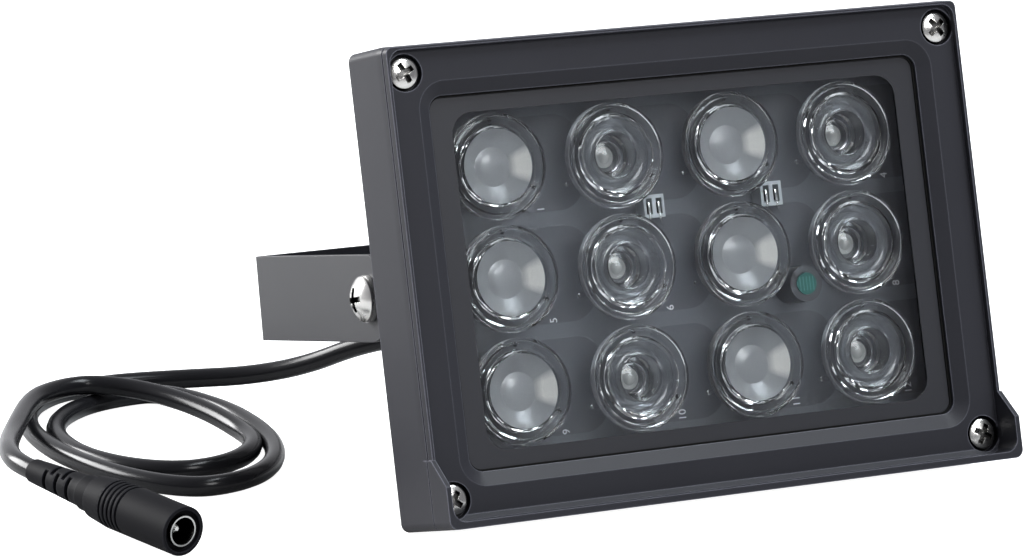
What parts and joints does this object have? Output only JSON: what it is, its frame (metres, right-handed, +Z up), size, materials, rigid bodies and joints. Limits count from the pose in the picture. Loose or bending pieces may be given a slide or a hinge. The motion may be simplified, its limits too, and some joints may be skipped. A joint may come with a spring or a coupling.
{
  "type": "infrared illuminator",
  "caption": "Rectangular infrared lamp: cast front frame with bottom hood lip, lensed emitters behind glass, finned back, swivelling U bracket and a coiled lead with an in-line socket.",
  "frame": {"origin": "middle of the footprint of the housing and bracket, on the surface it stands on", "axes": "+Z up, +X to the right of someone who looks into the window, -Y the way the window faces"},
  "size_m": [0.2136, 0.1846, 0.107],
  "materials": {
    "casting": "dark grey powder coat on a die casting",
    "rear_casting": "dark grey powder coat on a finned die casting",
    "bracket": "dark grey powder coat on bent strip",
    "border": "black print on the back of the glass",
    "window": "clear polished",
    "lens_frosted": "frosted moulded optic",
    "lens_clear": "clear moulded optic",
    "emitter": "clear resin over a small package",
    "board": "slate solder mask",
    "heat_pad": "grey silicone",
    "seal": "black rubber",
    "sensor": "teal face with a fine winding track",
    "sensor_collar": "black",
    "board_socket": "off-white nylon",
    "cover_screw": "nickel plated",
    "pivot_screw": "nickel plated",
    "lock_washer": "dark spring steel",
    "gland": "black nylon",
    "lead": "satin black sheath",
    "lead_moulding": "matt black moulding",
    "contact": "nickel plated"
  },
  "bodies": {
    "housing": {"front_frame": "casting", "rear_housing": "rear_casting", "window_mask": "border", "window_glass": "window", "lens_r1c1": "lens_frosted", "lens_r1c3": "lens_frosted", "lens_r2c1": "lens_frosted", "lens_r2c3": "lens_frosted", "lens_r3c1": "lens_frosted", "lens_r3c3": "lens_frosted", "lens_r1c2": "lens_clear", "lens_r1c4": "lens_clear", "lens_r2c2": "lens_clear", "lens_r2c4": "lens_clear", "lens_r3c2": "lens_clear", "lens_r3c4": "lens_clear", "emitter_r1c1": "emitter", "emitter_r1c2": "emitter", "emitter_r1c3": "emitter", "emitter_r1c4": "emitter", "emitter_r2c1": "emitter", "emitter_r2c2": "emitter", "emitter_r2c3": "emitter", "emitter_r2c4": "emitter", "emitter_r3c1": "emitter", "emitter_r3c2": "emitter", "emitter_r3c3": "emitter", "emitter_r3c4": "emitter", "led_board": "board", "thermal_pad": "heat_pad", "body_seal": "seal", "gland_bush": "seal", "photocell": "sensor", "photocell_collar": "sensor_collar", "socket_one": "board_socket", "socket_two": "board_socket", "screw_1": "cover_screw", "screw_2": "cover_screw", "screw_3": "cover_screw", "screw_4": "cover_screw", "pivot_screw_left": "pivot_screw", "pivot_screw_right": "pivot_screw", "lock_washer_left": "lock_washer", "lock_washer_right": "lock_washer", "cable_gland": "gland", "gland_nut": "gland", "cord_tail": "lead", "cord_coil": "lead", "cord_lead": "lead", "plug_boot": "lead_moulding", "plug_shell": "lead_moulding", "plug_contact": "contact", "plug_pin": "contact"},
    "bracket": {"bracket": "bracket"}
  },
  "joints": [
    {"name": "bracket_swivel", "type": "hinge", "parent": "housing", "child": "bracket", "pos_m": [0, -0.00696, 0.04777], "axis": [1, 0, 0], "range_deg": [-3, 86]}
  ]
}
